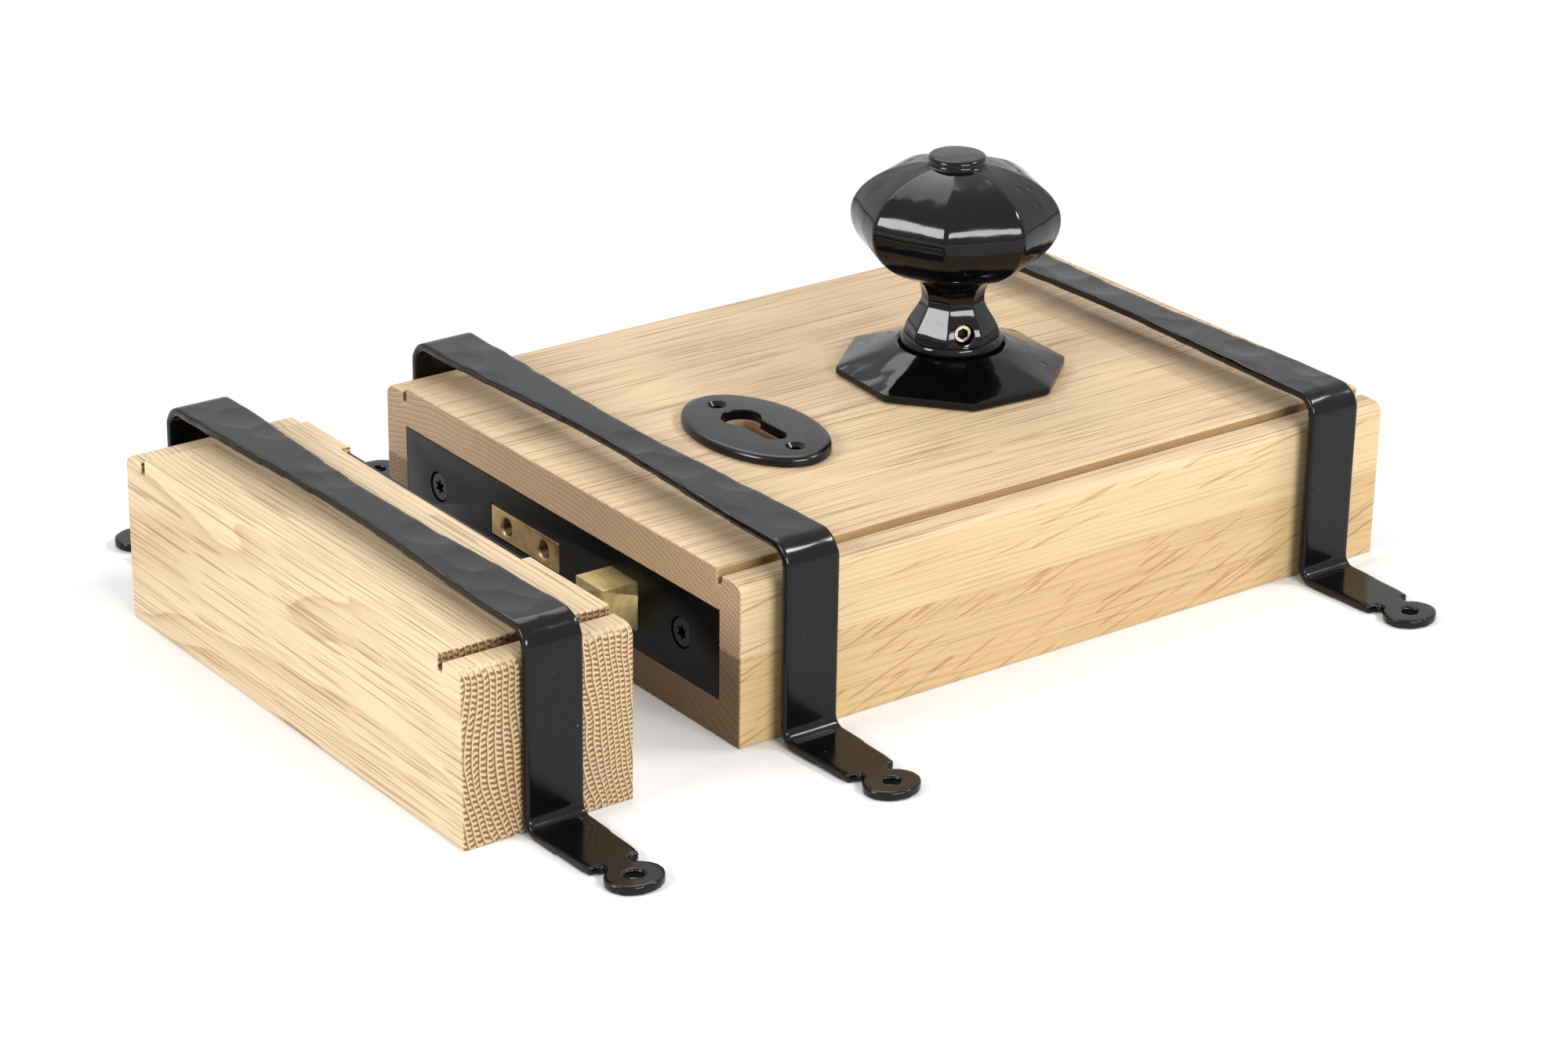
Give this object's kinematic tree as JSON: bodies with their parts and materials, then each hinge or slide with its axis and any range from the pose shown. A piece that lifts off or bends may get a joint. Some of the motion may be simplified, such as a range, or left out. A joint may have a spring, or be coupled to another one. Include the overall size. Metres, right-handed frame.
{
  "type": "rim lock with keep",
  "caption": "Oak-cased rim lock with an octagonal knob, sprung latch, keyed dead bolt and forged straps, with its separate oak keep and strike.",
  "frame": {"origin": "centre of the lock case's back, on the door face", "axes": "+X from the keep to the lock, along the door's rail; +Y across the case; +Z out of the door, along the knob's spindle"},
  "size_m": [0.315, 0.2688, 0.1134],
  "materials": {
    "oak_front": "sanded oak, waxed, grain along the lock",
    "oak_back": "sanded oak, waxed, darker board",
    "oak_keep": "sanded oak, waxed, grain across the keep",
    "cast_black": "gloss black on cast iron, finely pitted",
    "forged_black": "gloss black on hammered iron",
    "plate_black": "satin black on rolled steel",
    "screw_black": "black, satin",
    "latch_brass": "brushed",
    "bolt_brass": "satin",
    "steel": "bright"
  },
  "bodies": {
    "lock": {"case_front_board": "oak_front", "case_back_board": "oak_back", "forend_plate": "plate_black", "forend_screw_1": "screw_black", "forend_screw_2": "screw_black", "lock_case": "steel", "lock_cap": "steel", "cap_screw_1": "steel", "cap_screw_2": "steel", "cap_screw_3": "steel", "latch_guide": "steel", "lever_post": "steel", "rose": "cast_black", "escutcheon": "plate_black", "lock_strap_front": "forged_black", "lock_strap_rear": "forged_black"},
    "knob": {"knob": "cast_black", "spindle": "steel", "grub_screw": "steel", "follower": "steel"},
    "latch": {"latch_bolt": "latch_brass", "latch_tail": "steel", "latch_spring": "steel"},
    "dead_bolt": {"dead_bolt": "bolt_brass", "dead_bolt_tail": "steel", "bolt_stump": "steel"},
    "levers": {"lever_1": "bolt_brass", "lever_2": "bolt_brass", "lever_spring_1": "steel", "lever_spring_2": "steel"},
    "keep": {"keep_block": "oak_keep", "keep_strike": "plate_black", "strike_screw_1": "screw_black", "strike_screw_2": "screw_black", "keep_strap": "forged_black"}
  },
  "joints": [
    {"name": "knob_turn", "type": "hinge", "parent": "lock", "child": "knob", "pos_m": [0.0244, 0, 0], "axis": [0, 0, 1], "range_deg": [0, 40]},
    {"name": "latch_slide", "type": "slide", "parent": "lock", "child": "latch", "axis": [1, 0, 0], "range_m": [0, 0.011], "stiffness_N_per_m": 150, "springref_m": -0.006, "deforming": ["latch_spring"]},
    {"name": "dead_bolt_slide", "type": "slide", "parent": "lock", "child": "dead_bolt", "axis": [-1, 0, 0], "range_m": [0, 0.014]},
    {"name": "lever_swing", "type": "hinge", "parent": "lock", "child": "levers", "pos_m": [0, 0.0213, 0], "axis": [0, 0, 1], "range_deg": [0, 8]},
    {"name": "keep_slide", "type": "slide", "parent": "lock", "child": "keep", "axis": [1, 0, 0], "range_m": [-0.06, 0.035]}
  ],
  "couplings": [
    {"joint": "latch_slide", "follows": "knob_turn", "m_per_rad": 0.015756}
  ]
}
